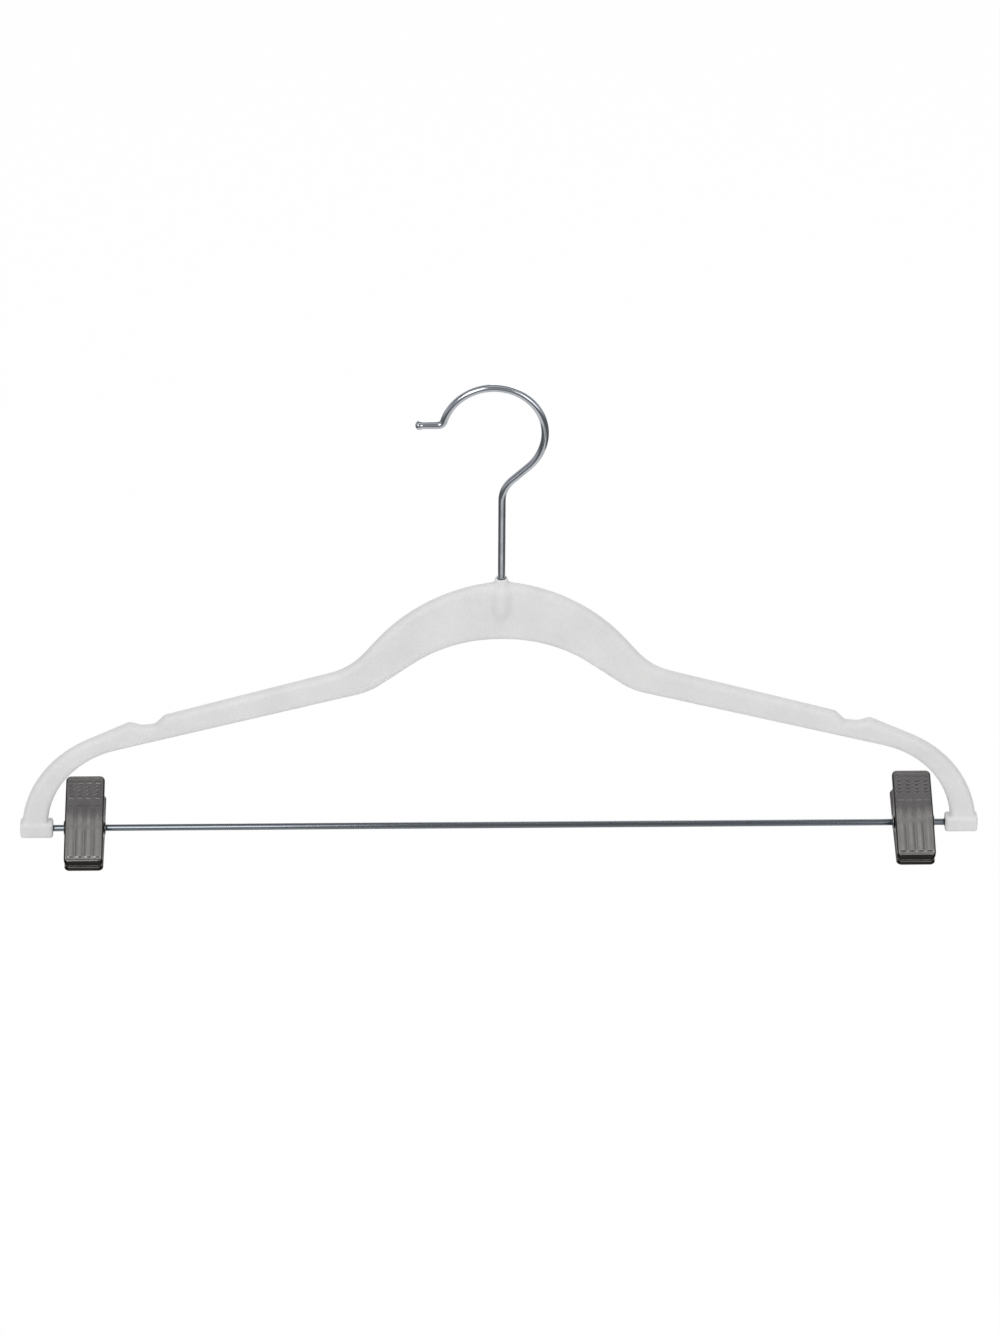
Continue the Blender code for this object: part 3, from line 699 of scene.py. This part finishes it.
def press_leaf(nested):
    """One leaf, upright about its pivot with its face towards -Y."""
    bpy.ops.object.select_all(action="DESELECT")
    bpy.ops.mesh.primitive_grid_add(
        x_subdivisions=cells_across, y_subdivisions=cells_along, size=1.0
    )
    leaf = bpy.context.object
    inner_width = leaf_width - 2 * fold
    inner_length = tab_length + jaw_length - 2 * fold
    middle = (tab_length - jaw_length) / 2
    turn = corner - fold
    for vert in leaf.data.vertices:
        u, v = vert.co.x * inner_width, vert.co.y * inner_length
        a = (abs(u) - (inner_width / 2 - turn)) / turn
        b = (abs(v) - (inner_length / 2 - turn)) / turn
        if a > 0 and b > 0:
            a, b = a * sqrt(1 - b * b / 2), b * sqrt(1 - a * a / 2)
            u = (inner_width / 2 - turn + turn * a) * (1 if u > 0 else -1)
            v = (inner_length / 2 - turn + turn * b) * (1 if v > 0 else -1)
        v += middle
        vert.co = (u, fall(v), v)
    # the fold, the step on a nested leaf, and the wall are drawn out of the face's edge
    rounds = [radians(90.0 * i / fold_rings) for i in range(1, fold_rings + 1)]
    bpy.ops.object.mode_set(mode="EDIT")
    bpy.ops.mesh.select_all(action="DESELECT")
    bpy.ops.mesh.select_non_manifold()
    inset = fold
    stages = [("fold", fold * (1 - sin(angle)), fold * (1 - cos(angle))) for angle in rounds]
    if nested:
        stages += [("step", ring / step_rings, 0.0) for ring in range(1, step_rings + 1)]
    stages += [("wall", *reach) for reach in zip(wall_rings, (0.0, *wall_rings))]
    for kind, amount, depth in stages:
        bpy.ops.mesh.extrude_region_move(TRANSFORM_OT_translate={"value": (0, 0, 0)})
        bpy.ops.object.mode_set(mode="OBJECT")
        for vert in leaf.data.vertices:
            if not vert.select:
                continue
            u, v = vert.co.x, vert.co.z
            if kind == "fold":
                way = outward(u, v)
                v_edge = v + way.y * inset
                u, v = u + way.x * (inset - amount), v + way.y * (inset - amount)
                vert.co = (u, fall(v_edge) + depth, v)
            elif kind == "step":
                way = outward(u, v)
                run = max(0.0, min(step_run, wall_end(v, way.y) - sheet / 3 - fall(v) - fold))
                full_step = step_in * run / step_run
                before = amount - 1 / step_rings
                vert.co.x -= way.x * full_step * (cos(before * pi) - cos(amount * pi)) / 2
                vert.co.y = fall(v) + fold + run * amount
            else:
                left_over = wall_end(v, outward(u, v).y) - vert.co.y
                vert.co.y += left_over * (amount - depth) / (1 - depth)
        if kind == "fold":
            inset = amount
        bpy.ops.object.mode_set(mode="EDIT")
    bpy.ops.mesh.select_all(action="SELECT")
    bpy.ops.mesh.normals_make_consistent(inside=False)
    bpy.ops.object.mode_set(mode="OBJECT")
    if leaf.data.polygons[0].normal.y > 0:
        leaf.data.flip_normals()
    skin_count = len(leaf.data.vertices)
    apply_modifier(leaf, "SOLIDIFY", thickness=sheet, offset=-1.0, use_even_offset=True)
    verts = leaf.data.vertices
    for outer, inner in zip(verts[:skin_count], verts[skin_count:]):
        u, v = outer.co.x, outer.co.z
        if outer.co.y < fall(v) + face_slack:
            rise = ribs(u, v)
            outer.co.y += sunk(u, v) - rise
            inner.co.y -= rise
    bpy.ops.object.select_all(action="DESELECT")
    bpy.ops.mesh.primitive_cylinder_add(
        vertices=tube_sides,
        radius=tube_outer + gap,
        depth=2 * leaf_width,
        location=(0, standoff, 0),
        rotation=(0, pi / 2, 0),
    )
    drill = bpy.context.object
    apply_modifier(leaf, "BOOLEAN", operation="DIFFERENCE", solver="MANIFOLD", object=drill)
    bpy.data.objects.remove(drill, do_unlink=True)
    apply_modifier(
        leaf,
        "BEVEL",
        width=edge_round,
        segments=2,
        limit_method="ANGLE",
        angle_limit=radians(60.0),
    )
    # the mark says where shade is painted into the plating: full on the fold and the lip, less on
    # the other walls and inside, half of that at the cut edge, and on the face only where the
    # relief is steep
    painted_shade = leaf.data.attributes.new("painted_shade", "FLOAT", "POINT")
    for vert, mark in zip(leaf.data.vertices, painted_shade.data):
        u, depth, v = vert.co
        way_v = outward(u, v).y
        cut_edge = eased((depth - wall_end(v, way_v)) / edge_round + 2)
        mark.value = wall_shade + (1 - wall_shade) * eased(-2 * way_v)
        mark.value *= 1 - cut_bright * cut_edge
        if depth < fall(v) + fold / 2:
            mark.value = max(painted_relief_shade(u, v), eased((fold - inside(u, v)) / (fold / 2)))
    leaf.data.transform(Matrix.Rotation(leaf_lean, 4, "X") @ Matrix.Translation((0, -standoff, 0)))
    return leaf


leaf_metal = plated(
    "leaf_nickel",
    (0.36, 0.347, 0.336),
    (0.475, 0.46, 0.446),
    (0.17, 0.27),
    3000.0,
    110.0,
    stretch=(1, 1, 0.06),
    turn=-clip_swing,
)
tree = leaf_metal.node_tree
shader = tree.nodes["Principled BSDF"]
bright = shader.inputs["Base Color"].links[0].from_socket
painted_shade = tree.nodes.new("ShaderNodeAttribute")
painted_shade.attribute_name = "painted_shade"
# painted shade: the plated tone is mixed towards near black by the per-point shade mark on the
# walls, fold, lip and steep relief
shaded_tone = mixed_colour(tree, painted_shade.outputs["Fac"], bright, (0.030, 0.028, 0.027, 1.0))
set_inputs(tree, shader, Base_Color=shaded_tone, Specular_Tint=(0.35, 0.34, 0.33, 1.0))
into_place = Matrix.Translation(left_clip) @ Matrix.Rotation(clip_swing, 4, "X")
front_leaf = press_leaf(False)
front_leaf.data.transform(into_place)
rear_leaf = press_leaf(True)
rear_leaf.data.transform(into_place @ Matrix.Scale(-1, 4, (0, 1, 0)))
rear_leaf.data.flip_normals()
for leaf in (front_leaf, rear_leaf):
    take_alone(leaf)
    bpy.ops.object.shade_smooth_by_angle(angle=radians(40.0))
for name, leaf in (
    ("left_front", front_leaf),
    ("left_rear", rear_leaf),
    ("right_front", second_of(front_leaf, "right_front_pressing")),
    ("right_rear", second_of(rear_leaf, "right_rear_pressing")),
):
    fit_out(leaf, name + "_pressing", name + "_jaw", "stamped_steel", leaf_metal, name + "_leaf")

# Jaw pads: soft milky vinyl strips pressed into the jaw ends, with cross teeth that grip the cloth.
# They are the frame's own solids.
vinyl, tree, soft_skin = new_material(
    "pad_vinyl", Subsurface_Weight=0.2, Subsurface_Radius=(1.0, 1.0, 0.9), Subsurface_Scale=0.001
)
place = add_node(tree, "TexCoord").outputs["Object"]
cloud = add_node(tree, "TexNoise", Vector=place, Scale=400.0, Detail=4.0).outputs["Fac"]
milk = colour_ramp(tree, cloud, (0.0, (0.62, 0.62, 0.60)), (1.0, (0.80, 0.80, 0.78)))
wet = add_node(tree, "MapRange", Value=cloud, To_Min=0.30, To_Max=0.50).outputs["Result"]
set_inputs(tree, soft_skin, Base_Color=milk, Roughness=wet)
for side in ("left", "right"):
    for face in ("front", "rear"):
        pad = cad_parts[side + "_" + face + "_pad"]
        pad.data.materials.clear()
        pad.data.materials.append(vinyl)

# Torsion springs: 0.9 mm spring wire coiled six times round the pivot tube, with a straight leg up
# inside each tab. The coil winds up as the jaws open.
spring_wire = 0.0009
coil_radius = 0.0033
coil_pitch = 0.00145
coil_turns = 6
leg = 0.0140
steps_in_turn = 40
leg_y = standoff - sheet - gap - spring_wire / 2 + leg * tan(leaf_lean)
touch = atan2(leg_y, leg) + acos(coil_radius / hypot(leg_y, leg))
coil_angle = coil_turns * 2 * pi + 2 * (pi - touch)
coil_width = coil_pitch * coil_angle / (2 * pi)
coil_steps = ceil(coil_angle / (2 * pi) * steps_in_turn)
route = [Vector((-coil_width / 2, -leg_y, leg))]
for i in range(coil_steps + 1):
    angle = touch + coil_angle * i / coil_steps
    x = coil_width * (i / coil_steps - 0.5)
    route.append(Vector((x, -coil_radius * sin(angle), coil_radius * cos(angle))))
route.append(Vector((coil_width / 2, leg_y, leg)))
coil = bpy.data.curves.new("spring", "CURVE")
coil.dimensions = "3D"
coil.bevel_depth = spring_wire / 2
coil.bevel_resolution = 4
coil.use_fill_caps = True
run = coil.splines.new("POLY")
run.points.add(len(route) - 1)
for target, spot in zip(run.points, route):
    target.co = (*(into_place @ spot), 1.0)
spring = bpy.data.objects.new("left_spring", coil)
bpy.context.scene.collection.objects.link(spring)
take_alone(spring)
bpy.ops.object.convert(target="MESH")
spring = bpy.context.object
bpy.ops.object.mode_set(mode="EDIT")
bpy.ops.mesh.select_all(action="SELECT")
close_and_smooth(spring, radians(40.0))
right_spring = second_of(spring, "right_spring")
for side, piece in (("left", spring), ("right", right_spring)):
    fit_out(piece, side + "_spring", None, "plated_steel", bright_steel, side + "_torsion_spring")
    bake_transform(piece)
